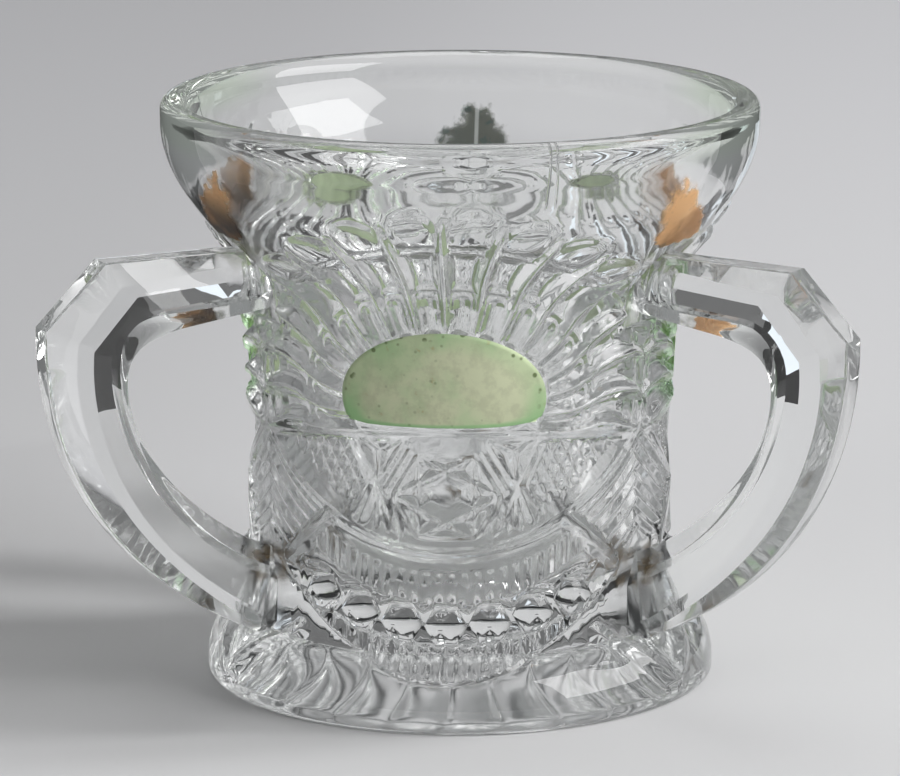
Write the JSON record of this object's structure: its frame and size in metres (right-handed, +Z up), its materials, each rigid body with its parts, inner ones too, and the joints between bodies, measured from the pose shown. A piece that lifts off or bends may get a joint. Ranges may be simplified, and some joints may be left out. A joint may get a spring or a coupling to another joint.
{
  "type": "toothpick holder",
  "caption": "Clear pressed glass toothpick holder: a flared cup on a round foot with angular loop handles and rising sun panels stained green.",
  "frame": {"origin": "centre of the flat resting face of the foot", "axes": "+Z up along the axis of the cup, -Y towards the middle of the front sun panel, +Y towards the back handle"},
  "size_m": [0.082, 0.077, 0.06],
  "materials": {
    "glass": "clear pressed glass, fire polished",
    "green_stain": "matt pale green stain fired on the glass",
    "worn_gilt": "traces of worn gilding"
  },
  "bodies": {
    "root": {"foot": "glass", "cup_body": "glass", "flared_rim": "glass", "handle_right": "glass", "handle_back": "glass", "handle_left": "glass", "sun_stain_front": "green_stain", "sun_stain_right": "green_stain", "sun_stain_left": "green_stain", "gilt_right": "worn_gilt", "gilt_back": "worn_gilt", "gilt_left": "worn_gilt"}
  },
  "joints": []
}
